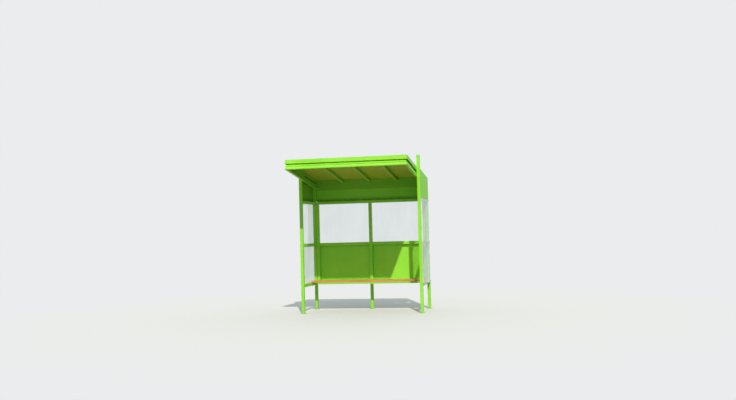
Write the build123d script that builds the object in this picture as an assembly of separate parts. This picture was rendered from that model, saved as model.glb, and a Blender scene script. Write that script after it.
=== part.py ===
from build123d import *
import os
from math import cos, radians, sin, tan

# Bus shelter: a welded frame of square steel tube with an open front, clear side and rear panes,
# sheet steel lower and header panels, a plank bench and a roof that falls to the rear.
# Sizes are in millimetres. X runs along the shelter to the right, Y from the open front to the
# rear and Z up from the ground. The origin is on the ground under the middle of the whole outline.

# Frame tubes
tube_size = 50
tube_corner_radius = 4
header_rail_height = 45

# Plan of the posts, axis to axis
post_spacing = 2000
wall_depth = 850

# Heights above the ground
header_rail_underside = 1845
mid_rail_underside = 1110
bottom_rail_underside = 438

# Base plates under the posts, with one bolt in front of each post and one behind
base_plate_width = 75
base_plate_depth = 120
base_plate_thickness = 6
base_bolt_spacing = 90
base_bolt_hole_radius = 4.5

# Panes and sheet panels, fixed to the outer faces of the frame
pane_thickness = 4
panel_thickness = 2
panel_joint_gap = 4
corner_notch_length = 20
corner_notch_height = 8

# Roof frame, a flat rectangle tilted down to the rear
roof_slope = 7.5
roof_front_overhang = 960
roof_lip_height = 2350
beam_height = 150
beam_thickness = 40
roof_sheet_thickness = 2
front_post_rise = 195
rear_post_drop = 15
top_rail_rise = 80

# Profile of the roof beams, from the bottom edge up
lip_height = 14
crease_height = 42
crease_depth = 10
crease_cut = 8
crease_gap = 6
groove_height = 83
groove_depth = 24
band_return = 5

# Open slot in the side beams between the posts
slot_underside = 66
slot_height = 17
slot_end_length = 35
slot_end_height = 45

# Rafters under the roof sheet
rafter_count = 3
rafter_size = 50
rafter_corner_radius = 4

# Rear header panel lap over the rear roof beam
header_panel_lap = 60

# Bench of long boards
bench_rear_gap = 80
board_count = 3
board_width = 80
board_gap = 8
board_thickness = 30
board_edge_radius = 4

# Places worked out from the sizes above
half_tube = tube_size / 2
post_x = post_spacing / 2
inner_x = post_x - half_tube
outer_x = post_x + half_tube

overall_depth = roof_front_overhang + wall_depth + base_plate_depth / 2
lip_y = -overall_depth / 2
front_y = lip_y + roof_front_overhang
rear_y = front_y + wall_depth
rear_face = rear_y + half_tube

header_rail_top = header_rail_underside + header_rail_height
header_line = (header_rail_underside + header_rail_top) / 2
mid_line = mid_rail_underside + half_tube
bottom_line = bottom_rail_underside + half_tube
bench_underside = bottom_rail_underside + tube_size

slope = radians(roof_slope)
roof_width = 2 * inner_x
roof_length = (rear_face - lip_y - beam_height * sin(slope)) / cos(slope)
roof_frame = Pos(0, lip_y, roof_lip_height) * Rot(-roof_slope, 0, 0)


def roof_underside(y):
    """Height of the roof beams' bottom edge plane at a place along the shelter's depth."""
    return roof_lip_height - (y - lip_y) * tan(slope)


def top_rail_underside(y):
    """Height of the side walls' sloping top rails, measured to their lower edge plane."""
    return roof_underside(y) + top_rail_rise


def along_roof(y, height):
    """Distance down the roof frame of a vertical plane at y, at a height above its bottom edge."""
    return (y - lip_y - height * sin(slope)) / cos(slope)


def box_between(low, high):
    size = [top - bottom for bottom, top in zip(low, high)]
    centre = [(top + bottom) / 2 for bottom, top in zip(low, high)]
    return Pos(*centre) * Box(*size)


def rounded_bar(low, high, along, radius=tube_corner_radius):
    """A tube or board with its four long edges rounded; a tube is closed at its ends."""
    bar = box_between(low, high)
    return fillet(bar.edges().filter_by(along), radius)


def side_outline(points, x_low, x_high):
    """A plate or bar drawn in the side view and given its thickness along X."""
    face = Plane.YZ * make_face(Polyline(*points, close=True))
    return Pos(x_low, 0, 0) * extrude(face, x_high - x_low, dir=(1, 0, 0))


# Posts and their base plates

def post(x, y, top):
    low = (x - half_tube, y - half_tube, base_plate_thickness)
    high = (x + half_tube, y + half_tube, top)
    return rounded_bar(low, high, Axis.Z)


def base_plate(x, y):
    plate = Box(base_plate_width, base_plate_depth, base_plate_thickness)
    holes = GridLocations(base_plate_width, base_bolt_spacing, 1, 2)
    plate -= holes * Cylinder(base_bolt_hole_radius, 2 * base_plate_thickness)
    return Pos(x, y, base_plate_thickness / 2) * plate


def posts():
    beam_rise = beam_height / cos(slope)
    front_post_top = roof_underside(front_y) + beam_rise + front_post_rise
    rear_post_top = roof_underside(rear_y) + beam_rise - rear_post_drop
    return {
        "front_left_post": post(-post_x, front_y, front_post_top),
        "front_right_post": post(post_x, front_y, front_post_top),
        "rear_left_post": post(-post_x, rear_y, rear_post_top),
        "rear_right_post": post(post_x, rear_y, rear_post_top),
        "rear_middle_post": post(0, rear_y, header_rail_underside),
    }


def base_plates():
    places = [(-post_x, front_y), (post_x, front_y), (-post_x, rear_y), (0, rear_y), (post_x, rear_y)]
    return Compound([base_plate(x, y) for x, y in places])


# Rear wall

def rear_rail(x_low, x_high, underside, height=tube_size):
    low = (x_low, rear_y - half_tube, underside)
    high = (x_high, rear_y + half_tube, underside + height)
    return rounded_bar(low, high, Axis.X)


def rear_stile(side):
    x_inner = inner_x - tube_size
    low = (min(side * inner_x, side * x_inner), rear_y - half_tube, bottom_rail_underside)
    high = (max(side * inner_x, side * x_inner), rear_y + half_tube, header_rail_underside)
    return rounded_bar(low, high, Axis.Z)


def rear_plate(side, z_low, z_high, thickness):
    """A pane or panel from the stile's centre line to the middle post's, on their rear faces."""
    x_far = side * (inner_x - half_tube)
    x_near = side * panel_joint_gap / 2
    low = (min(x_far, x_near), rear_face, z_low)
    high = (max(x_far, x_near), rear_face + thickness, z_high)
    return box_between(low, high)


def rear_header_panel():
    """The sheet above the rear panes, notched beside each corner post to clear the stile's head."""
    top = roof_underside(rear_face) + header_panel_lap
    low = (-post_x, rear_face, header_line)
    high = (post_x, rear_face + panel_thickness, top)
    panel = box_between(low, high)
    for side in (-1, 1):
        notch_far = side * post_x
        notch_near = side * (inner_x - corner_notch_length)
        notch_low = (min(notch_far, notch_near), rear_face, header_line)
        notch_high = (
            max(notch_far, notch_near),
            rear_face + panel_thickness,
            header_rail_top + corner_notch_height,
        )
        panel -= box_between(notch_low, notch_high)
    return panel


def rear_wall():
    stile_face = inner_x - tube_size
    nodes = {"rear_header_rail": rear_rail(-inner_x, inner_x, header_rail_underside, header_rail_height)}
    for name, side in (("left", -1), ("right", 1)):
        x_ends = sorted((side * half_tube, side * stile_face))
        joint = panel_joint_gap / 2
        nodes[f"rear_{name}_stile"] = rear_stile(side)
        nodes[f"rear_{name}_mid_rail"] = rear_rail(*x_ends, mid_rail_underside)
        nodes[f"rear_{name}_bottom_rail"] = rear_rail(*x_ends, bottom_rail_underside)
        nodes[f"rear_{name}_pane"] = rear_plate(side, mid_line + joint, header_line - joint, pane_thickness)
        nodes[f"rear_{name}_panel"] = rear_plate(side, bottom_line, mid_line - joint, panel_thickness)
    nodes["rear_header_panel"] = rear_header_panel()
    return nodes


# Side walls

def side_rail(side, underside, height=tube_size):
    x_ends = sorted((side * inner_x, side * outer_x))
    low = (x_ends[0], front_y + half_tube, underside)
    high = (x_ends[1], rear_y - half_tube, underside + height)
    return rounded_bar(low, high, Axis.Y)


def side_top_rail(side):
    """The sloping tube beside the roof beam's upper band, cut upright where it meets the posts."""
    y_front = front_y + half_tube
    y_rear = rear_y - half_tube
    upright_height = tube_size / cos(slope)
    outline = [
        (y_front, top_rail_underside(y_front)),
        (y_rear, top_rail_underside(y_rear)),
        (y_rear, top_rail_underside(y_rear) + upright_height),
        (y_front, top_rail_underside(y_front) + upright_height),
    ]
    x_ends = sorted((side * inner_x, side * outer_x))
    bar = side_outline(outline, *x_ends)
    long_edges = bar.edges().filter_by(lambda edge: edge.length > tube_size + upright_height)
    return fillet(long_edges, tube_corner_radius)


def side_plate_ends(side, thickness):
    return sorted((side * outer_x, side * (outer_x + thickness)))


def side_pane(side, z_low, z_high):
    """A pane from the front post's centre line to the rear post's, on their outer faces."""
    x_ends = side_plate_ends(side, pane_thickness)
    return box_between((x_ends[0], front_y, z_low), (x_ends[1], rear_y, z_high))


def side_header_panel(side):
    """The sheet between the upper pane and the middle of the sloping top rail."""
    lap = half_tube / cos(slope)
    outline = [
        (front_y, header_line),
        (rear_y, header_line),
        (rear_y, top_rail_underside(rear_y) + lap),
        (front_y, top_rail_underside(front_y) + lap),
    ]
    return side_outline(outline, *side_plate_ends(side, panel_thickness))


def side_wall(name, side):
    joint = panel_joint_gap / 2
    return {
        f"{name}_header_rail": side_rail(side, header_rail_underside, header_rail_height),
        f"{name}_mid_rail": side_rail(side, mid_rail_underside),
        f"{name}_bottom_rail": side_rail(side, bottom_rail_underside),
        f"{name}_top_rail": side_top_rail(side),
        f"{name}_header_panel": side_header_panel(side),
        f"{name}_upper_pane": side_pane(side, mid_line + joint, header_line - joint),
        f"{name}_lower_pane": side_pane(side, bottom_line, mid_line - joint),
    }


# Roof, drawn flat in the roof frame with its front lip along X at the origin, then tilted

def beam_profile():
    """Section of a roof beam with its outer face towards -Y: a leaning lip, a crease, a groove and a band."""
    points = [
        (0, 0),
        (0, lip_height),
        (crease_depth, crease_height),
        (crease_depth + crease_cut, crease_height),
        (crease_depth, crease_height + crease_gap),
        (groove_depth, groove_height),
        (0, groove_height + band_return),
        (0, beam_height),
        (beam_thickness, beam_height),
        (beam_thickness, 0),
    ]
    return make_face(Polyline(*points, close=True))


def mitred_beam(length):
    """A roof beam along X, centred, with its outer lower edge on the axis and 45 degree ends."""
    half = length / 2
    bar = Pos(-half, 0, 0) * extrude(Plane.YZ * beam_profile(), length, dir=(1, 0, 0))
    plan = Polyline(
        (-half, 0),
        (half, 0),
        (half - beam_thickness, beam_thickness),
        (-half + beam_thickness, beam_thickness),
        close=True,
    )
    return bar & extrude(make_face(plan), beam_height)


def slotted_side_beam(side):
    """A side beam with the groove cut through between the posts, and a taller opening at its rear end."""
    beam = Rot(0, 0, side * 90) * mitred_beam(roof_length)
    beam = Pos(side * roof_width / 2, roof_length / 2, 0) * beam
    slot_middle = slot_underside + slot_height / 2
    slot_front = along_roof(front_y + half_tube, slot_middle)
    slot_rear = along_roof(rear_y - half_tube, slot_middle)
    x_ends = sorted((side * roof_width / 2, side * (roof_width / 2 - beam_thickness)))
    slot = box_between(
        (x_ends[0], slot_front, slot_underside),
        (x_ends[1], slot_rear, slot_underside + slot_height),
    )
    slot_end = box_between(
        (x_ends[0], slot_rear - slot_end_length, slot_underside),
        (x_ends[1], slot_rear, slot_underside + slot_end_height),
    )
    return beam - slot - slot_end


def rafter(x):
    half = rafter_size / 2
    low = (x - half, beam_thickness, beam_height - rafter_size)
    high = (x + half, roof_length - beam_thickness, beam_height)
    return rounded_bar(low, high, Axis.Y, rafter_corner_radius)


def roof():
    rear_beam = Pos(0, roof_length, 0) * Rot(0, 0, 180) * mitred_beam(roof_width)
    sheet_low = (-roof_width / 2, 0, beam_height)
    sheet_high = (roof_width / 2, roof_length, beam_height + roof_sheet_thickness)
    nodes = {
        "front_fascia": mitred_beam(roof_width),
        "rear_roof_beam": rear_beam,
        "left_roof_beam": slotted_side_beam(-1),
        "right_roof_beam": slotted_side_beam(1),
        "roof_sheet": box_between(sheet_low, sheet_high),
    }
    width_between_beams = roof_width - 2 * beam_thickness
    clear_width = (width_between_beams - rafter_count * rafter_size) / (rafter_count + 1)
    rafter_spacing = clear_width + rafter_size
    for number in range(rafter_count):
        x = (number + 1) * rafter_spacing - (width_between_beams + rafter_size) / 2
        nodes[f"rafter_{number + 1}"] = rafter(x)
    return {name: roof_frame * shape for name, shape in nodes.items()}


# Bench

def bench():
    """Long boards that end on the middle of the side bottom rails, with a gap behind the last one."""
    board_pitch = board_width + board_gap
    front_edge = rear_y - half_tube - bench_rear_gap - (board_count * board_pitch - board_gap)
    nodes = {}
    for number in range(board_count):
        y_low = front_edge + number * board_pitch
        low = (-post_x, y_low, bench_underside)
        high = (post_x, y_low + board_width, bench_underside + board_thickness)
        nodes[f"bench_board_{number + 1}"] = rounded_bar(low, high, Axis.X, board_edge_radius)
    return nodes


def shelter():
    nodes = posts()
    nodes["base_plates"] = base_plates()
    nodes.update(rear_wall())
    nodes.update(side_wall("left", -1))
    nodes.update(side_wall("right", 1))
    nodes.update(roof())
    nodes.update(bench())
    return nodes


os.makedirs("parts", exist_ok=True)
for node_name, node_shape in shelter().items():
    export_step(node_shape, f"parts/{node_name}.step")
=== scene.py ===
import math
import random

import bmesh
import bpy
from mathutils import Matrix, Vector


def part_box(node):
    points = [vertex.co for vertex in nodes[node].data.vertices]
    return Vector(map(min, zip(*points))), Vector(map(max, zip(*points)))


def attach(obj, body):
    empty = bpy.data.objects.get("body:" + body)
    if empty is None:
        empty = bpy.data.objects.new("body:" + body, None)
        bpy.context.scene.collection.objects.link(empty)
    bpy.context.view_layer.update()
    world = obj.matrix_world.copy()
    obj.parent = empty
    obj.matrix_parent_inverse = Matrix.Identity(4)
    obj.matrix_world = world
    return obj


# Looks of the bus shelter: painted steel, clear panes, varnished boards, welds and fixings.
# Sizes are in metres, in the part's own frame: X along the shelter, Y to the rear, Z up.

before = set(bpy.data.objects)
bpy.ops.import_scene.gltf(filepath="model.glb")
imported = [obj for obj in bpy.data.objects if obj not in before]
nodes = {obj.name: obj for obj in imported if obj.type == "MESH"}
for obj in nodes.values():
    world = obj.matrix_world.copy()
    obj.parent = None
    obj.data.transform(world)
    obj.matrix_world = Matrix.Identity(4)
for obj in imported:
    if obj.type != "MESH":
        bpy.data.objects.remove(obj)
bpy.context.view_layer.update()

# Roof sizes that the frame doesn't give
roof_slope = math.radians(7.5)
roof_sheet_thickness = 0.002

# Places of the fixings
fixing_inset = 0.0125
pane_screw_spacing = 0.28
rivet_spacing = 0.2
anchor_spacing = 0.09

# Profiles of the fixings, as pairs of radius and height from the foot up
screw_flange = [(0.0052, 0.0), (0.0054, 0.0008), (0.0046, 0.0013)]
screw_head = [(0.0046, 0.0010), (0.0046, 0.0044), (0.0040, 0.0052)]
pane_washer = [(0.0080, 0.0), (0.0082, 0.0008), (0.0078, 0.0016), (0.0055, 0.0019)]
anchor_washer = [(0.0078, 0.0), (0.0080, 0.0004), (0.0080, 0.0012), (0.0076, 0.0016)]
bench_washer = [(0.0100, 0.0), (0.0100, 0.0014), (0.0096, 0.0017)]
hexagon_nut = [(0.0068, 0.0), (0.0075, 0.0006), (0.0075, 0.0058), (0.0066, 0.0066)]
bolt_dome = [(0.0090, -0.0005), (0.0092, 0.0003), (0.0080, 0.0018), (0.0055, 0.0029), (0.0022, 0.0034)]
bolt_end = [(0.0039, 0.0), (0.0039, 0.0110), (0.0030, 0.0118)]
rivet_dome = [(0.0048, 0.0), (0.0047, 0.0006), (0.0040, 0.0013), (0.0028, 0.0017)]
rivet_hollow = [(0.0019, 0.0018), (0.0014, 0.0010)]
washer_squeeze = 0.0002
hexagon_sides = 6
bolt_sides = 12
rivet_sides = 14
round_sides = 20

# Anchor studs
stud_radius = 0.0039
stud_height = 0.026
stud_tip_radius = 0.0026
stud_tip_height = 0.0008
thread_root_radius = 0.0033
thread_pitch = 0.00125
thread_start = 0.006
thread_count = 11

# Beads of weld and of sealant. An inset is how far a bead ends short of a corner,
# and an unevenness is the share of its radius by which a bead swells at its ripples.
weld_radius = 0.0035
flat_weld_radius = 0.6 * weld_radius
weld_unevenness = 0.14
weld_pitch = 0.004
weld_inset = 0.006
foot_weld_inset = 0.0025
cap_weld_radius = 0.0016
cap_weld_unevenness = 0.1
cap_weld_inset = 0.004
cap_thickness = 0.003
roof_weld_inset = 0.004
beam_weld_length = 0.142
rafter_corner = 0.003
seam_weld_length = 0.035
seam_weld_margin = 0.05
seam_weld_spacing = 0.3
seam_weld_sink = 0.001
sealant_radius = 0.003
joint_bead_radius = 0.0039
sealant_unevenness = 0.05
sealant_pitch = 0.02
bead_sides = 7
bead_fewest_steps = 4
bead_tip_share = 0.45
bead_taper = 0.75

# Angles between faces up to which the shading runs on smoothly
crease_angle = math.radians(40)
bead_crease_angle = math.radians(80)

# Reach of the painted shade along sheet edges and seams, and the heights above the roof beams' lower edge
# between which the groove gets painted shade
rim_shade_reach = 0.018
low_rim_shade_reach = 0.07
seam_shade_reach = 0.007
seam_shade_fade = 0.01
groove_shade_low = 0.055
groove_shade_high = 0.12
groove_shade_fade = 0.002

# Colours, as linear light
lime = (0.33, 0.80, 0.062)
lime_deep = (0.27, 0.73, 0.042)
lime_pale = (0.41, 0.85, 0.105)
# Painted warm bounce light on downward faces, partly also the roof sheet's own yellower tint
olive_and_bounce = (0.46, 0.54, 0.045)
# Green-black painted shade: in the roof beams' groove, along the sheets' edges, in the post seams and on
# inner faces under the roof
painted_shade_green = (0.045, 0.120, 0.008)
dust = (0.42, 0.38, 0.30)
primer = (0.10, 0.07, 0.05)
haze = (0.62, 0.66, 0.66)
mirror_tint = (0.90, 0.94, 0.93)
pane_tint = (0.955, 0.975, 0.975)
sawn_edge = (0.80, 0.84, 0.82)
zinc_grey = (0.56, 0.57, 0.58)
rubber_black = (0.025, 0.025, 0.027)
silicone = (0.55, 0.58, 0.56)
aged_silicone = (0.72, 0.73, 0.62)

# Light and stage
sun_towards = (0.351, -1.0, 0.994)
sun_strength = 3.0
sun_softness = math.radians(1.0)
sun_colour = (1.0, 0.95, 0.86)
sky_colour = (0.86, 0.96, 1.0)
light_at_horizon = 0.30
light_overhead = 0.80
backdrop_colour = (0.83, 0.84, 0.85)
floor_colour = (0.69, 0.685, 0.675)
floor_bounce_colour = (0.30, 0.29, 0.26)
floor_half_width = 60
floor_fade_start = 2.4
floor_fade_end = 7.5

# Camera, as fitted to the photograph
eye = Vector((3.149, -14.158, 1.320))
heading_left_of_rear = math.radians(11.948)
tilt_up = math.radians(2.141)
roll = math.radians(-1.503)
focal_in_pixels = 879.8
photo_width = 736
sensor_width = 36
view_reach = 200

# Places read from the frame
front_post_low, front_post_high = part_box("front_right_post")
rear_post_low, rear_post_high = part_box("rear_right_post")
fascia_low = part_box("front_fascia")[0]
roof_low, roof_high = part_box("roof_sheet")
beam_low, beam_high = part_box("left_roof_beam")
rafter_names = sorted(name for name in nodes if name.startswith("rafter_"))

tube = front_post_high.x - front_post_low.x
half_tube = tube / 2
post_x = (front_post_low.x + front_post_high.x) / 2
inner_x = front_post_low.x
outer_x = front_post_high.x
front_y = (front_post_low.y + front_post_high.y) / 2
rear_y = (rear_post_low.y + rear_post_high.y) / 2
rear_face = rear_post_high.y
foot_z = front_post_low.z
post_places = [(-post_x, front_y), (post_x, front_y), (-post_x, rear_y), (0, rear_y), (post_x, rear_y)]

header_rail_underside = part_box("rear_header_rail")[0].z
bottom_rail_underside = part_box("rear_left_bottom_rail")[0].z

beam_thickness = beam_high.x - beam_low.x
roof_width = roof_high.x - roof_low.x
roof_depth = roof_high.y - roof_low.y
roof_length = (roof_depth - roof_sheet_thickness * math.sin(roof_slope)) / math.cos(roof_slope)
lip_z = fascia_low.z + beam_thickness * math.sin(roof_slope)
roof_place = Matrix.Translation((0, fascia_low.y, lip_z)) @ Matrix.Rotation(-roof_slope, 4, "X")
roof_top = (roof_place.inverted() @ Vector((0, roof_low.y, roof_high.z))).z
beam_height = roof_top - roof_sheet_thickness


def roof_underside(y):
    """Height of the roof beams' bottom edge plane at a place along the shelter's depth."""
    return lip_z - (y - fascia_low.y) * math.tan(roof_slope)


# Meshes

class Solids:
    """Many small closed solids gathered into one mesh."""

    def __init__(self, seed=1):
        self.points = []
        self.faces = []
        self.chance = random.Random(seed)

    def stack(self, rings, place=Matrix.Identity(4)):
        """A solid skinned over rings of points, with its two ends closed."""
        first = len(self.points)
        count = len(rings[0])
        self.points += [place @ Vector(point) for ring in rings for point in ring]
        self.faces.append([first + index for index in range(count)][::-1])
        for level in range(len(rings) - 1):
            low = first + level * count
            high = low + count
            for side in range(count):
                after = (side + 1) % count
                self.faces.append([low + side, low + after, high + after, high + side])
        last = first + (len(rings) - 1) * count
        self.faces.append([last + index for index in range(count)])

    def lathe(self, profile, place, sides):
        """A solid of revolution about Z, from (radius, height) pairs that run upwards."""
        angles = [2 * math.pi * side / sides for side in range(sides)]
        rings = []
        for radius, height in profile:
            rings.append([(radius * math.cos(a), radius * math.sin(a), height) for a in angles])
        self.stack(rings, place)

    def bead(self, start, end, radius, uneven=weld_unevenness, pitch=weld_pitch):
        """A run of weld or sealant: a rod that swells at each ripple and tapers at both ends."""
        start, end = Vector(start), Vector(end)
        run = end - start
        along = run.normalized()
        across = along.orthogonal().normalized()
        other = along.cross(across)
        steps = max(bead_fewest_steps, 2 * round(run.length / pitch))
        rings = []
        for step in range(steps + 1):
            share = step / steps
            swell = 1 + uneven * (1 if step % 2 else -1) * self.chance.uniform(0.5, 1.0)
            from_tip = min(share, 1 - share) * run.length
            taper = min(1.0, bead_tip_share + bead_taper * from_tip / radius)
            centre = start + run * share
            reach = radius * swell * taper
            ring = []
            for side in range(bead_sides):
                angle = 2 * math.pi * side / bead_sides
                ring.append(centre + reach * (math.cos(angle) * across + math.sin(angle) * other))
            rings.append(ring)
        self.stack(rings)

    def sealant(self, start, end, radius=sealant_radius):
        self.bead(start, end, radius, sealant_unevenness, sealant_pitch)

    def sealant_loop(self, corners):
        """Four runs of sealant round a rectangle."""
        for start, end in zip(corners, corners[1:] + corners[:1]):
            self.sealant(start, end)

    def piece(self, name, material, slot=None, crease=crease_angle):
        """The finished piece, riding on the shelter's one body."""
        mesh = bpy.data.meshes.new(name)
        mesh.from_pydata(self.points, [], self.faces)
        shell = bmesh.new()
        shell.from_mesh(mesh)
        bmesh.ops.recalc_face_normals(shell, faces=shell.faces)
        shell.to_mesh(mesh)
        shell.free()
        mesh.shade_smooth()
        mesh.set_sharp_from_angle(angle=crease)
        mesh.materials.append(material)
        made = bpy.data.objects.new(name, mesh)
        bpy.context.scene.collection.objects.link(made)
        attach(made, "root")

    def painted_beads(self, name, material):
        self.piece(name, material, "green_paint", bead_crease_angle)


def facing(position, outward):
    """A place at a point, with its Z axis along the outward direction."""
    return Matrix.Translation(position) @ Vector(outward).to_track_quat("Z", "Y").to_matrix().to_4x4()


def raised(height):
    return Matrix.Translation((0, 0, height))


def evenly(low, high, spacing):
    """Places from low to high, both included, no further apart than the spacing."""
    gaps = max(1, math.ceil((high - low) / spacing))
    return [low + (high - low) * index / gaps for index in range(gaps + 1)]


# Materials

def rgba(colour):
    return (*colour, 1)


def darker(colour, share):
    return tuple(share * part for part in colour)


def stretched(along, share):
    """Texture scales that draw a pattern out along one axis."""
    return tuple(share if axis == along else 1.0 for axis in range(3))


class Look:
    """The node tree of a material or of the world, built a node at a time."""

    def __init__(self, owner):
        self.owner = owner
        owner.use_nodes = True
        self.tree = owner.node_tree
        self.tree.nodes.clear()
        places = self.node("TexCoord").outputs
        self.place = places["Object"]
        self.direction = places["Generated"]

    def node(self, kind, inputs=None, **settings):
        made = self.tree.nodes.new("ShaderNode" + kind)
        for name, value in settings.items():
            setattr(made, name, value)
        for socket, value in (inputs or {}).items():
            if isinstance(value, bpy.types.NodeSocket):
                self.tree.links.new(value, made.inputs[socket])
            else:
                made.inputs[socket].default_value = value
        return made

    def noise(self, scale, stretch=(1, 1, 1), shift=(0, 0, 0), detail=3.0, distortion=0.0):
        place = self.node("Mapping", {"Vector": self.place, "Scale": stretch, "Location": shift})
        inputs = {
            "Vector": place.outputs[0],
            "Scale": scale,
            "Detail": detail,
            "Roughness": 0.55,
            "Distortion": distortion,
        }
        return self.node("TexNoise", inputs).outputs[0]

    def spread(self, value, low, high, to_low=0.0, to_high=1.0):
        """A value taken from the range low to high into another range, and held there."""
        inputs = {"Value": value, "From Min": low, "From Max": high, "To Min": to_low, "To Max": to_high}
        return self.node("MapRange", inputs, clamp=True).outputs[0]

    def combine(self, operation, first, second):
        return self.node("Math", {0: first, 1: second}, operation=operation).outputs[0]

    def product(self, first, *others):
        for other in others:
            first = self.combine("MULTIPLY", first, other)
        return first

    def absolute(self, value):
        return self.node("Math", {0: value}, operation="ABSOLUTE").outputs[0]

    def mix(self, factor, first, second):
        """The first colour at factor 0 and the second at 1."""
        inputs = {0: factor}
        for socket, colour in ((6, first), (7, second)):
            inputs[socket] = colour if isinstance(colour, bpy.types.NodeSocket) else rgba(colour)
        return self.node("Mix", inputs, data_type="RGBA").outputs[2]

    def bump(self, height, distance, under=None):
        inputs = {"Height": height, "Distance": distance, "Strength": 1.0}
        if under is not None:
            inputs["Normal"] = under
        return self.node("Bump", inputs).outputs[0]

    def coordinate(self, axis):
        """The place along X, Y or Z, in metres."""
        return self.node("SeparateXYZ", {0: self.place}).outputs[axis]

    def normal(self):
        return self.node("NewGeometry").outputs["True Normal"]

    def facing_axis(self, axis):
        """How far the surface faces along X, Y or Z, from -1 to 1."""
        return self.node("SeparateXYZ", {0: self.normal()}).outputs[axis]

    def share_along(self, vector, direction):
        """How far a vector reaches along a fixed direction."""
        inputs = {0: vector, 1: direction}
        return self.node("VectorMath", inputs, operation="DOT_PRODUCT").outputs["Value"]

    def finish(self, shader, output="OutputMaterial"):
        self.node(output, {"Surface": shader.outputs[0]})
        return self.owner


def new_look(name):
    return Look(bpy.data.materials.new(name))


def looks_inward(look, inward):
    """1 on the faces that look inwards, along an axis and a way along it, or both ways where that is 0."""
    axis, way = inward
    turned = look.facing_axis(axis)
    turned = look.product(turned, way) if way else look.absolute(turned)
    return look.spread(turned, 0.4, 0.6)


def rim_shade(look, rims, inward):
    """Painted shade along a sheet's visible edges on its inner face, where the tubes round it shade it.

    Each rim is (axis, place, way inwards, reach). The inner face looks along inward, as (axis, way).
    """
    near = None
    for axis, edge, way, reach in rims:
        distance = look.product(look.combine("SUBTRACT", look.coordinate(axis), edge), way)
        close = look.spread(distance, 0.2 * reach, reach, 1.0, 0.0)
        near = close if near is None else look.combine("MAXIMUM", near, close)
    patches = look.spread(look.noise(22.0), 0.25, 0.65, 0.25, 0.55)
    return look.product(near, looks_inward(look, inward), patches)


def seam_shade(look):
    """Painted shade in the narrow seams between the corner posts and the stiles beside them."""
    x, y, z = (look.coordinate(axis) for axis in range(3))
    away = look.absolute(look.combine("SUBTRACT", look.absolute(x), inner_x))
    close = look.spread(away, seam_shade_reach / 2, seam_shade_reach, 1.0, 0.0)
    rear = look.spread(y, rear_y - tube, rear_y - tube + seam_shade_fade)
    below_head = look.spread(z, header_rail_underside, header_rail_underside + seam_shade_fade, 1.0, 0.0)
    above_foot = look.spread(z, bottom_rail_underside - seam_shade_fade, bottom_rail_underside)
    return look.product(close, rear, below_head, above_foot)


def groove_shade(look):
    """Painted shade inside the roof beams' groove and slots, whose faces lie square to the beams' sides.
    """
    up = roof_place.to_3x3() @ Vector((0, 0, 1))
    height = look.combine("SUBTRACT", look.share_along(look.place, up), up.dot(roof_place.translation))
    level = look.spread(look.absolute(look.share_along(look.normal(), up)), 0.35, 0.6)
    above = look.spread(height, groove_shade_low - groove_shade_fade, groove_shade_low)
    below = look.spread(height, groove_shade_high, groove_shade_high + groove_shade_fade, 1.0, 0.0)
    return look.product(level, above, below)


def green_paint(
    name, along, sheet=False, groove=0.0, under=0.3, inner_shade=0.0, rims=(), inward=(1, -1), seam=0.0
):
    """Lime enamel, brushed along one axis, a little cloudy and dusty low down, with painted warm bounce
    light that turns its downward faces olive.

    Its painted shade is set by groove, sooty, seam and rims: in the groove, on inner faces under the roof,
    in the post seams and along a sheet's edges; under sets the painted bounce light underneath.
    """
    look = new_look(name)
    clouds = look.noise(1.6)
    mottle = look.noise(17.0, detail=4.0)
    strokes = look.noise(160.0, stretched(along, 0.035), detail=2.0)
    colour = look.mix(look.spread(clouds, 0.35, 0.65), lime_deep, lime)
    colour = look.mix(look.spread(mottle, 0.5, 0.8, 0.0, 0.3), colour, lime_pale)
    colour = look.mix(look.spread(strokes, 0.35, 0.75, 0.0, 0.16), colour, lime_deep)
    facing_up = look.facing_axis(2)
    # Painted warm bounce light: faces that look down turn olive
    colour = look.mix(look.spread(facing_up, -0.4, -0.85, 0.0, under), colour, olive_and_bounce)
    # Painted shade on the inner faces up under the roof
    if inner_shade:
        inner_shade_mask = look.spread(clouds, 0.3, 0.7, 0.7 * inner_shade, inner_shade)
        colour = look.mix(look.product(inner_shade_mask, looks_inward(look, inward)), colour, painted_shade_green)
    # Painted shade inside the roof beams' groove and slots
    if groove:
        colour = look.mix(look.product(groove_shade(look), groove), colour, painted_shade_green)
    # Painted shade along a sheet's edges
    if rims:
        colour = look.mix(rim_shade(look, rims, inward), colour, painted_shade_green)
    # Painted shade in the seams beside the corner posts
    if seam:
        colour = look.mix(look.product(seam_shade(look), seam), colour, painted_shade_green)
    low_down = look.spread(look.coordinate(2), 0.0, 0.22, 1.0, 0.0)
    on_top = look.spread(facing_up, 0.6, 0.95, 0.0, 0.35)
    patches = look.spread(look.noise(9.0, detail=5.0), 0.45, 0.75)
    dusty = look.product(look.combine("MAXIMUM", low_down, on_top), patches)
    colour = look.mix(look.product(dusty, 0.45), colour, dust)
    chips = look.spread(look.noise(150.0, detail=2.0), 0.83, 0.85)
    chips = look.product(chips, look.spread(look.coordinate(2), 0.1, 0.7, 1.0, 0.0))
    colour = look.mix(chips, colour, primer)
    rough = look.spread(mottle, 0.3, 0.7, 0.40, 0.52)
    rough = look.combine("ADD", rough, look.product(dusty, 0.3))
    normal = look.bump(strokes, 0.0002)
    normal = look.bump(look.noise(420.0, detail=1.0), 0.00012, normal)
    if sheet:
        normal = look.bump(look.noise(3.2, detail=1.0), 0.006, normal)
    inputs = {"Base Color": colour, "Roughness": rough, "Normal": normal, "Specular IOR Level": 0.12}
    return look.finish(look.node("BsdfPrincipled", inputs))


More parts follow.
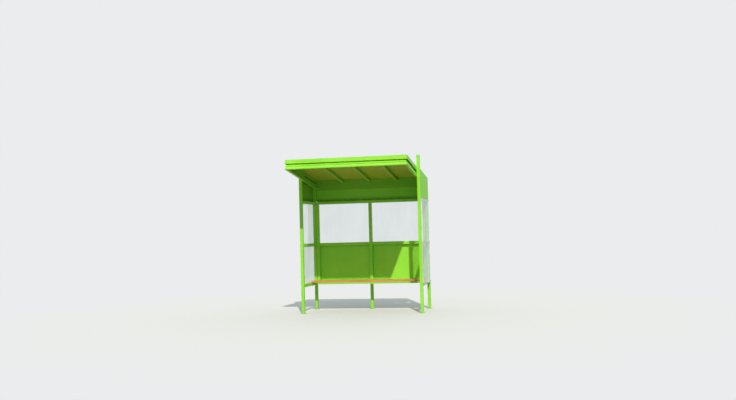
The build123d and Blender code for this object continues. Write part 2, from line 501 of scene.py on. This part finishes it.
def clear_pane(name, thickness_axis, streaky):
    """Clear plastic sheet: faint film and upright streaks, mirror-like at a slant, pale sawn edges."""
    look = new_look(name)
    streaks = look.noise(30.0, (1, 1, 0.05), detail=4.0, distortion=0.4)
    clouds = look.noise(2.4, (1, 1, 0.6), detail=4.0)
    streaked = look.spread(streaks, 0.45, 0.8, 0.0, streaky)
    film = look.combine("ADD", streaked, look.spread(clouds, 0.4, 0.75, 0.01, 0.05))
    entering = look.combine("SUBTRACT", 1.0, look.node("NewGeometry").outputs["Backfacing"])
    mirror = look.product(look.node("Fresnel", {"IOR": 1.5}).outputs[0], entering)
    edge = look.spread(look.absolute(look.facing_axis(thickness_axis)), 0.3, 0.7, 1.0, 0.0)
    film = look.combine("MAXIMUM", film, look.product(edge, 0.85))
    shown = look.spread(look.combine("ADD", film, mirror), 0.0, 1.0)
    gloss = look.combine("DIVIDE", mirror, look.combine("ADD", shown, 0.001))
    colour = look.mix(gloss, look.mix(edge, haze, sawn_edge), mirror_tint)
    rough = look.spread(streaks, 0.3, 0.8, 0.04, 0.14)
    rough = look.combine("MAXIMUM", rough, look.product(edge, 0.5))
    normal = look.bump(look.noise(4.0, detail=1.0), 0.0015)
    inputs = {"Base Color": colour, "Metallic": gloss, "Roughness": rough, "Normal": normal}
    surface = look.node("BsdfPrincipled", inputs)
    clear = look.node("BsdfTransparent", {"Color": rgba(pane_tint)})
    return look.finish(look.node("MixShader", {0: shown, 1: clear.outputs[0], 2: surface.outputs[0]}))


def varnished_wood(name, light, dark, pith):
    """A sawn board along X: growth rings about a far pith, fine pores and a worn varnish."""
    look = new_look(name)
    drift = look.noise(1.1, (0.6, 2.0, 2.0), shift=(pith[0], 0, 0), detail=2.0)
    place = look.node("Mapping", {"Vector": look.place, "Location": pith})
    bent = look.node("VectorMath", {0: place.outputs[0], 1: drift}, operation="ADD")
    inputs = {
        "Vector": bent.outputs[0],
        "Scale": 34.0,
        "Distortion": 3.0,
        "Detail": 2.0,
        "Detail Scale": 1.2,
    }
    rings = look.node("TexWave", inputs, wave_type="RINGS", rings_direction="X").outputs[1]
    fibres = look.noise(240.0, (0.02, 1, 1))
    tone = look.noise(2.2, (1.0, 3.0, 3.0), shift=pith)
    colour = look.mix(look.spread(rings, 0.1, 0.95, 0.0, 0.7), light, dark)
    colour = look.mix(look.spread(tone, 0.42, 0.64, 0.0, 0.7), colour, dark)
    pores = look.spread(fibres, 0.56, 0.74, 0.0, 0.45)
    colour = look.mix(pores, colour, darker(dark, 0.45))
    rough = look.spread(tone, 0.3, 0.7, 0.28, 0.46)
    normal = look.bump(fibres, 0.00025)
    normal = look.bump(rings, 0.00015, normal)
    inputs = {"Base Color": colour, "Roughness": rough, "Normal": normal}
    return look.finish(look.node("BsdfPrincipled", inputs))


def zinc_plate(name):
    """Zinc plating with its fine spangle."""
    look = new_look(name)
    spangle = look.noise(260.0, detail=2.0)
    colour = look.mix(look.spread(spangle, 0.35, 0.7), zinc_grey, darker(zinc_grey, 0.7))
    rough = look.spread(spangle, 0.3, 0.7, 0.3, 0.5)
    inputs = {"Base Color": colour, "Roughness": rough, "Metallic": 1.0}
    return look.finish(look.node("BsdfPrincipled", inputs))


def soft_solid(name, colour, roughness):
    """Rubber or silicone, a little uneven."""
    look = new_look(name)
    skin = look.noise(90.0)
    shade = look.mix(look.spread(skin, 0.3, 0.7, 0.0, 0.35), colour, darker(colour, 0.6))
    rough = look.spread(skin, 0.3, 0.7, roughness, roughness + 0.15)
    normal = look.bump(skin, 0.0002)
    inputs = {"Base Color": shade, "Roughness": rough, "Normal": normal}
    return look.finish(look.node("BsdfPrincipled", inputs))


paint_x = green_paint("green_paint_along_x", 0)
paint_y = green_paint("green_paint_along_y", 1)
paint_z = green_paint("green_paint_along_z", 2, seam=0.5)
# Paints with their own painted shade in the groove and under the roof, and painted bounce light underneath
own_paints = {
    "front_fascia": green_paint("green_fascia", 0, groove=0.55, under=0.6),
    "rear_roof_beam": green_paint("green_rear_beam", 0, groove=0.75, inner_shade=0.35),
    "roof_sheet": green_paint("green_roof_sheet", 0, sheet=True, under=1.0),
}
for word, way in (("left", 1), ("right", -1)):
    own_paints[f"{word}_roof_beam"] = green_paint(
        f"green_{word}_beam", 1, groove=1.0, under=0.3, inner_shade=0.5, inward=(0, way)
    )
rafter_paint = green_paint("green_rafter", 1, under=0.8, inner_shade=0.45, inward=(0, 0))
pane_rear = clear_pane("clear_pane_rear", 1, streaky=0.02)
pane_side = clear_pane("clear_pane_side", 0, streaky=0.16)
zinc = zinc_plate("zinc_plated_steel")
rubber = soft_solid("rubber_washer", rubber_black, 0.6)
pane_sealant = soft_solid("clear_sealant", silicone, 0.25)
joint_sealant = soft_solid("joint_sealant", aged_silicone, 0.4)
board_looks = {
    "bench_board_1": varnished_wood(
        "board_wood_1", light=(0.82, 0.34, 0.105), dark=(0.55, 0.18, 0.062), pith=(1.7, -0.74, -0.60)
    ),
    "bench_board_2": varnished_wood(
        "board_wood_2", light=(0.88, 0.38, 0.12), dark=(0.58, 0.20, 0.068), pith=(2.9, -0.72, -0.44)
    ),
    "bench_board_3": varnished_wood(
        "board_wood_3", light=(0.92, 0.41, 0.125), dark=(0.62, 0.22, 0.075), pith=(0.3, -0.52, -0.56)
    ),
}


# Finish of the frame's own pieces

def panel_rims(name):
    """The edges of a sheet panel that show between the tubes round it, for its painted shade."""
    line, wide = rim_shade_reach, low_rim_shade_reach
    if name == "rear_header_panel":
        bottom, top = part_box("rear_header_rail")[1].z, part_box("rear_roof_beam")[0].z
        return [(0, -inner_x, 1, line), (0, inner_x, -1, line), (2, bottom, 1, wide), (2, top, -1, line)]
    if name.startswith("rear"):
        stile_low, stile_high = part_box(name.replace("panel", "stile"))
        x_low, x_high = (stile_high.x, -half_tube) if stile_low.x < 0 else (half_tube, stile_low.x)
        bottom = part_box(name.replace("panel", "bottom_rail"))[1].z
        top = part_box(name.replace("panel", "mid_rail"))[0].z
        return [(0, x_low, 1, line), (0, x_high, -1, line), (2, bottom, 1, line), (2, top, -1, line)]
    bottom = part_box(name.replace("panel", "rail"))[1].z
    return [(1, front_y + half_tube, 1, line), (1, rear_y - half_tube, -1, line), (2, bottom, 1, wide)]


def panel_paint(name):
    """Paint of a sheet panel, with painted shade along its edges and on its inner face up under the roof.
    """
    if name.startswith("rear"):
        along, inward = 0, (1, -1)
        inner_shade = 0.12 if name == "rear_header_panel" else 0.0
    else:
        along, inward = 1, (0, 1 if name.startswith("left") else -1)
        inner_shade = 0.45
    return green_paint("green_" + name, along, True, inner_shade=inner_shade, rims=panel_rims(name), inward=inward)


def paint_for(name):
    """The paint whose brush marks run along the piece."""
    if name.endswith("_panel"):
        return panel_paint(name)
    if name in own_paints:
        return own_paints[name]
    if name in rafter_names:
        return rafter_paint
    if name.endswith("_post") or name.endswith("_stile"):
        return paint_z
    if name.startswith(("left_", "right_")):
        return paint_y
    return paint_x


def dress_frame():
    for name, node in nodes.items():
        if name in board_looks:
            look = board_looks[name]
        elif name.endswith("_pane"):
            look = pane_rear if name.startswith("rear") else pane_side
        else:
            look = paint_for(name)
        node.data.materials.clear()
        node.data.materials.append(look)


# Fixings

def rivet(solids, place):
    """A blind rivet: a low dome with the pin's hollow in its middle."""
    solids.lathe(rivet_dome + rivet_hollow, place, rivet_sides)


def washer_and_nut(solids, washer, place, turn=Matrix.Identity(4)):
    """A plain washer with a hexagon nut on it, and the place where the nut stands."""
    solids.lathe(washer, place, round_sides)
    nut_place = place @ raised(washer[-1][1]) @ turn
    solids.lathe(hexagon_nut, nut_place, hexagon_sides)
    return nut_place


def rectangle_places(low, high, inset, spacing):
    """Places round a rectangle, as pairs, inset from its edges."""
    first, second = (low[0] + inset, low[1] + inset), (high[0] - inset, high[1] - inset)
    places = []
    for u in evenly(first[0], second[0], spacing):
        places += [(u, first[1]), (u, second[1])]
    for v in evenly(first[1], second[1], spacing)[1:-1]:
        places += [(first[0], v), (second[0], v)]
    return places


def plate_places(name, spacing):
    """Fixing places on the outer face of a rear or side plate."""
    low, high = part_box(name)
    if name.startswith("rear"):
        pairs = rectangle_places((low.x, low.z), (high.x, high.z), fixing_inset, spacing)
        return [facing((u, high.y, v), (0, 1, 0)) for u, v in pairs]
    side = -1 if name.startswith("left") else 1
    face = high.x if side > 0 else low.x
    pairs = rectangle_places((low.y, low.z), (high.y, high.z), fixing_inset, spacing)
    return [facing((face, u, v), (side, 0, 0)) for u, v in pairs]


def pane_fixings():
    """Self-drilling screws with flanged hexagon heads, on sealing washers."""
    screws, washers = Solids(), Solids()
    for name in sorted(name for name in nodes if name.endswith("_pane")):
        for place in plate_places(name, pane_screw_spacing):
            washers.lathe(pane_washer, place, round_sides)
            head_place = place @ raised(pane_washer[-1][1] - washer_squeeze)
            screws.lathe(screw_flange, head_place, round_sides)
            screws.lathe(screw_head, head_place, hexagon_sides)
    screws.piece("pane_screws", zinc)
    washers.piece("pane_washers", rubber)


def side_header_rivets(rivets, side, name):
    """Rivets along the four edges of a side header panel, whose top edge slopes with the roof."""
    low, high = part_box(name)
    face = high.x if side > 0 else low.x
    for y in evenly(low.y + fixing_inset, high.y - fixing_inset, rivet_spacing):
        top = high.z - (y - low.y) * math.tan(roof_slope) - fixing_inset
        heights = evenly(low.z + fixing_inset, top, rivet_spacing)
        at_end = y < low.y + 2 * fixing_inset or y > high.y - 2 * fixing_inset
        for z in heights if at_end else (heights[0], heights[-1]):
            rivet(rivets, facing((face, y, z), (side, 0, 0)))


def panel_rivets():
    rivets = Solids()
    for name in ("rear_left_panel", "rear_right_panel"):
        for place in plate_places(name, rivet_spacing):
            rivet(rivets, place)
    side_header_rivets(rivets, -1, "left_header_panel")
    side_header_rivets(rivets, 1, "right_header_panel")
    low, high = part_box("rear_header_panel")
    end_inset = 5 * fixing_inset
    for x in evenly(low.x + end_inset, high.x - end_inset, rivet_spacing):
        for z in (low.z + fixing_inset, high.z - fixing_inset):
            rivet(rivets, facing((x, high.y, z), (0, 1, 0)))
    rivets.piece("panel_rivets", paint_x, "green_paint")


def roof_rivets():
    """Rivets that hold the roof sheet, along its edges and over the rafters."""
    rivets = Solids()
    edge = beam_thickness / 2
    x_end = roof_width / 2 - edge
    y_ends = (edge, roof_length - edge)
    rafter_boxes = [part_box(name) for name in rafter_names]
    columns = [-x_end, x_end] + [(low.x + high.x) / 2 for low, high in rafter_boxes]
    places = [(x, y) for y in evenly(*y_ends, rivet_spacing) for x in columns]
    places += [(x, y) for x in evenly(-x_end, x_end, rivet_spacing)[1:-1] for y in y_ends]
    for x, y in places:
        rivet(rivets, roof_place @ Matrix.Translation((x, y, roof_top)))
    rivets.piece("roof_rivets", paint_x, "green_paint")


def threaded_stud():
    """Profile of a stud that is plain at its foot, threaded above and chamfered at its tip."""
    profile = [(stud_radius, 0.0)]
    for thread in range(thread_count):
        root = thread_start + thread * thread_pitch
        profile += [(thread_root_radius, root), (stud_radius, root + thread_pitch / 2)]
    tip = stud_height - foot_z
    return profile + [(thread_root_radius, tip), (stud_tip_radius, tip + stud_tip_height)]


def anchors():
    """Studs, nuts and washers that hold the base plates down."""
    studs, nuts = Solids(), Solids()
    for x, y in post_places:
        for away in (-anchor_spacing / 2, anchor_spacing / 2):
            place = Matrix.Translation((x, y + away, foot_z))
            turn = Matrix.Rotation(nuts.chance.uniform(0, 1), 4, "Z")
            studs.lathe(threaded_stud(), place, bolt_sides)
            washer_and_nut(nuts, anchor_washer, place, turn)
    studs.piece("anchor_studs", zinc)
    nuts.piece("anchor_nuts", zinc)


def bench_bolts():
    """A round-headed bolt through each end of each board and the side rail, with its nut below."""
    heads, nuts = Solids(), Solids()
    rail_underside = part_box("left_bottom_rail")[0].z
    for name in sorted(board_looks):
        low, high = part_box(name)
        middle = (low.y + high.y) / 2
        bolt_x = (inner_x + high.x) / 2
        for x in (-bolt_x, bolt_x):
            heads.lathe(bolt_dome, Matrix.Translation((x, middle, high.z)), round_sides)
            under = Matrix.Translation((x, middle, rail_underside)) @ Matrix.Rotation(math.pi, 4, "X")
            nut_place = washer_and_nut(nuts, bench_washer, under)
            nuts.lathe(bolt_end, nut_place, bolt_sides)
    heads.piece("bench_bolt_heads", zinc)
    nuts.piece("bench_bolt_nuts", zinc)


# Welds

def side_end_welds(welds, name, side):
    """Fillets above and below a side rail's two ends, and a flat bead up its inner face."""
    low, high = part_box(name)
    inner = low.x if side > 0 else high.x
    for y in (low.y, high.y):
        for z in (low.z, high.z):
            welds.bead((low.x + weld_inset, y, z), (high.x - weld_inset, y, z), weld_radius)
        welds.bead((inner, y, low.z + weld_inset), (inner, y, high.z - weld_inset), flat_weld_radius)


def rear_end_welds(welds, name):
    """Fillets above and below a rear rail's two ends, and a flat bead up its inner face."""
    low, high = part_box(name)
    for x in (low.x, high.x):
        for z in (low.z, high.z):
            welds.bead((x, low.y + weld_inset, z), (x, high.y - weld_inset, z), weld_radius)
        welds.bead((x, low.y, low.z + weld_inset), (x, low.y, high.z - weld_inset), flat_weld_radius)


def head_welds(welds, name):
    """Fillets at both sides of an upright's head, under the header rail."""
    low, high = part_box(name)
    for x in (low.x, high.x):
        welds.bead((x, low.y + weld_inset, high.z), (x, high.y - weld_inset, high.z), weld_radius)


def seam_welds(welds, word):
    """Short beads down the seam between a stile and its corner post."""
    low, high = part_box(f"rear_{word}_stile")
    x = low.x if word == "left" else high.x
    y = low.y + seam_weld_sink
    half = seam_weld_length / 2
    for z in evenly(low.z + seam_weld_margin, high.z - seam_weld_margin, seam_weld_spacing):
        welds.bead((x, y, z - half), (x, y, z + half), weld_radius)


def frame_welds():
    """Beads where the rails and stiles meet the posts."""
    welds = Solids(seed=5)
    for name in ("header_rail", "mid_rail", "bottom_rail"):
        for side, word in ((-1, "left"), (1, "right")):
            side_end_welds(welds, f"{word}_{name}", side)
    for word in ("left", "right"):
        rear_end_welds(welds, f"rear_{word}_mid_rail")
        rear_end_welds(welds, f"rear_{word}_bottom_rail")
        seam_welds(welds, word)
        head_welds(welds, f"rear_{word}_stile")
    rear_end_welds(welds, "rear_header_rail")
    head_welds(welds, "rear_middle_post")
    welds.painted_beads("frame_welds", paint_x)


def square_of_beads(welds, centre, inset, radius, uneven=weld_unevenness):
    """Four beads round a post, each ending short of the corners."""
    for turn in range(4):
        rotation = Matrix.Rotation(turn * math.pi / 2, 4, "Z")
        start = rotation @ Vector((inset - half_tube, -half_tube, 0))
        end = rotation @ Vector((half_tube - inset, -half_tube, 0))
        welds.bead(start + Vector(centre), end + Vector(centre), radius, uneven)


def foot_welds():
    welds = Solids(seed=8)
    for x, y in post_places:
        square_of_beads(welds, (x, y, foot_z), foot_weld_inset, weld_radius)
    welds.painted_beads("foot_welds", paint_x)


def cap_welds():
    """Thin beads round the plates that close the front posts' heads."""
    welds = Solids(seed=9)
    cap_z = front_post_high.z - cap_thickness
    for x in (-post_x, post_x):
        square_of_beads(welds, (x, front_y, cap_z), cap_weld_inset, cap_weld_radius, cap_weld_unevenness)
    welds.painted_beads("post_cap_welds", paint_x)


def rafter_end_welds(welds, name, y):
    """A fillet under a rafter's end and one up each side of it, in the roof's own place."""
    low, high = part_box(name)
    underside = beam_height - (high.x - low.x)
    start = roof_place @ Vector((low.x + roof_weld_inset, y, underside))
    end = roof_place @ Vector((high.x - roof_weld_inset, y, underside))
    welds.bead(start, end, weld_radius)
    for x in (low.x, high.x):
        start = roof_place @ Vector((x, y, underside + rafter_corner))
        end = roof_place @ Vector((x, y, beam_height))
        welds.bead(start, end, weld_radius)


def roof_welds():
    """Beads at the rafters' ends and where the side beams meet the front posts."""
    welds = Solids(seed=11)
    for name in rafter_names:
        for y in (beam_thickness, roof_length - beam_thickness):
            rafter_end_welds(welds, name, y)
    for side in (-1, 1):
        x = side * inner_x
        for y in (front_y - half_tube, front_y + half_tube):
            weld_foot = roof_underside(y) + roof_weld_inset
            welds.bead((x, y, weld_foot), (x, y, weld_foot + beam_weld_length), weld_radius)
    welds.painted_beads("roof_welds", paint_y)


# Sealant

def sealant_lines():
    """Thin beads inside the frame's openings, where each pane or panel meets the tubes."""
    clear, painted = Solids(seed=13), Solids(seed=14)
    openings = {
        "upper": (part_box("left_mid_rail")[1].z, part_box("left_header_rail")[0].z),
        "lower": (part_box("left_bottom_rail")[1].z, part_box("left_mid_rail")[0].z),
    }
    y_low, y_high = front_y + half_tube, rear_y - half_tube
    stile_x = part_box("rear_right_stile")[0].x
    for band, (z_low, z_high) in openings.items():
        for side in (-1, 1):
            x = side * outer_x
            corners = [(x, y_low, z_low), (x, y_high, z_low), (x, y_high, z_high), (x, y_low, z_high)]
            clear.sealant_loop(corners)
            x_near, x_far = side * half_tube, side * stile_x
            y = rear_face
            corners = [(x_near, y, z_low), (x_far, y, z_low), (x_far, y, z_high), (x_near, y, z_high)]
            (clear if band == "upper" else painted).sealant_loop(corners)
    clear.piece("pane_sealant", pane_sealant)
    painted.piece("panel_sealant", paint_x, "green_paint")


def joint_lines():
    """Pale beads outside the side walls: over the joint of the two panes and under the lower one."""
    beads = Solids(seed=15)
    for side, word in ((-1, "left"), (1, "right")):
        low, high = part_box(f"{word}_lower_pane")
        upper_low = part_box(f"{word}_upper_pane")[0]
        outer, inner = (high.x, low.x) if side > 0 else (low.x, high.x)
        y_low, y_high = low.y + sealant_radius, high.y - sealant_radius
        joint_z = (high.z + upper_low.z) / 2
        beads.sealant((outer, y_low, joint_z), (outer, y_high, joint_z), joint_bead_radius)
        foot_x = inner + side * sealant_radius / 2
        foot_bead_z = low.z - sealant_radius / 2
        beads.sealant((foot_x, y_low, foot_bead_z), (foot_x, y_high, foot_bead_z))
    beads.piece("joint_sealant_lines", joint_sealant)


# Stage

def seen_directly(look):
    """1 for rays that show the surface itself: from the camera, in a gloss or through a pane."""
    rays = look.node("LightPath").outputs
    glossy = look.combine("MAXIMUM", rays["Is Camera Ray"], rays["Is Glossy Ray"])
    return look.combine("MAXIMUM", glossy, rays["Is Transmission Ray"])


def floor():
    """A pale floor that keeps the shadow near the shelter and fades into the backdrop further off."""
    look = new_look("pale_floor")
    grain = look.spread(look.noise(30.0), 0.3, 0.7, 0.0, 0.05)
    colour = look.mix(grain, floor_colour, darker(floor_colour, 0.9))
    colour = look.mix(seen_directly(look), floor_bounce_colour, colour)
    lit = look.node("BsdfPrincipled", {"Base Color": colour, "Roughness": 0.9})
    plain = look.node("Emission", {"Color": rgba(backdrop_colour), "Strength": 1.0})
    distance = look.node("VectorMath", {0: look.place}, operation="LENGTH").outputs["Value"]
    far = look.spread(distance, floor_fade_start, floor_fade_end)
    far.node.interpolation_type = "SMOOTHSTEP"
    share = look.product(far, seen_directly(look))
    material = look.finish(look.node("MixShader", {0: share, 1: lit.outputs[0], 2: plain.outputs[0]}))
    mesh = bpy.data.meshes.new("floor")
    corners = [(-1, -1), (1, -1), (1, 1), (-1, 1)]
    points = [(floor_half_width * x, floor_half_width * y, 0) for x, y in corners]
    mesh.from_pydata(points, [], [(0, 1, 2, 3)])
    mesh.materials.append(material)
    made = bpy.data.objects.new("floor", mesh)
    bpy.context.scene.collection.objects.link(made)


def surroundings():
    """A pale backdrop for what looks at it, and a soft light from all round, stronger from above."""
    world = bpy.data.worlds.new("surroundings")
    bpy.context.scene.world = world
    look = Look(world)
    upward = look.node("SeparateXYZ", {0: look.direction}).outputs[2]
    strength = look.spread(upward, 0.0, 1.0, light_at_horizon, light_overhead)
    light = look.node("Background", {"Color": rgba(sky_colour), "Strength": strength})
    shown = look.node("Background", {"Color": rgba(backdrop_colour), "Strength": 1.0})
    inputs = {0: seen_directly(look), 1: light.outputs[0], 2: shown.outputs[0]}
    look.finish(look.node("MixShader", inputs), "OutputWorld")


def soft_sun():
    """A lamp as far off as the sun but wider, so that its shadows are soft."""
    lamp = bpy.data.lights.new("key_lamp", "SUN")
    lamp.energy = sun_strength
    lamp.angle = sun_softness
    lamp.color = sun_colour
    made = bpy.data.objects.new("key_lamp", lamp)
    made.rotation_euler = Vector(sun_towards).to_track_quat("Z", "Y").to_euler()
    bpy.context.scene.collection.objects.link(made)


def camera():
    """A camera at the photograph's place, with its heading, tilt and roll."""
    forward = Vector((
        -math.sin(heading_left_of_rear) * math.cos(tilt_up),
        math.cos(heading_left_of_rear) * math.cos(tilt_up),
        math.sin(tilt_up),
    ))
    level_right = Vector((math.cos(heading_left_of_rear), math.sin(heading_left_of_rear), 0))
    level_up = level_right.cross(forward)
    right = math.cos(roll) * level_right + math.sin(roll) * level_up
    up = math.cos(roll) * level_up - math.sin(roll) * level_right
    data = bpy.data.cameras.new("camera")
    data.sensor_fit = "HORIZONTAL"
    data.sensor_width = sensor_width
    data.lens = sensor_width * focal_in_pixels / photo_width
    data.clip_end = view_reach
    made = bpy.data.objects.new("camera", data)
    turn = Matrix((right, up, -forward)).transposed().to_4x4()
    made.matrix_world = Matrix.Translation(eye) @ turn
    bpy.context.scene.collection.objects.link(made)
    bpy.context.scene.camera = made


dress_frame()
pane_fixings()
panel_rivets()
roof_rivets()
anchors()
bench_bolts()
frame_welds()
foot_welds()
cap_welds()
roof_welds()
sealant_lines()
joint_lines()

floor()
surroundings()
soft_sun()
camera()
bpy.context.scene.view_settings.view_transform = "Standard"
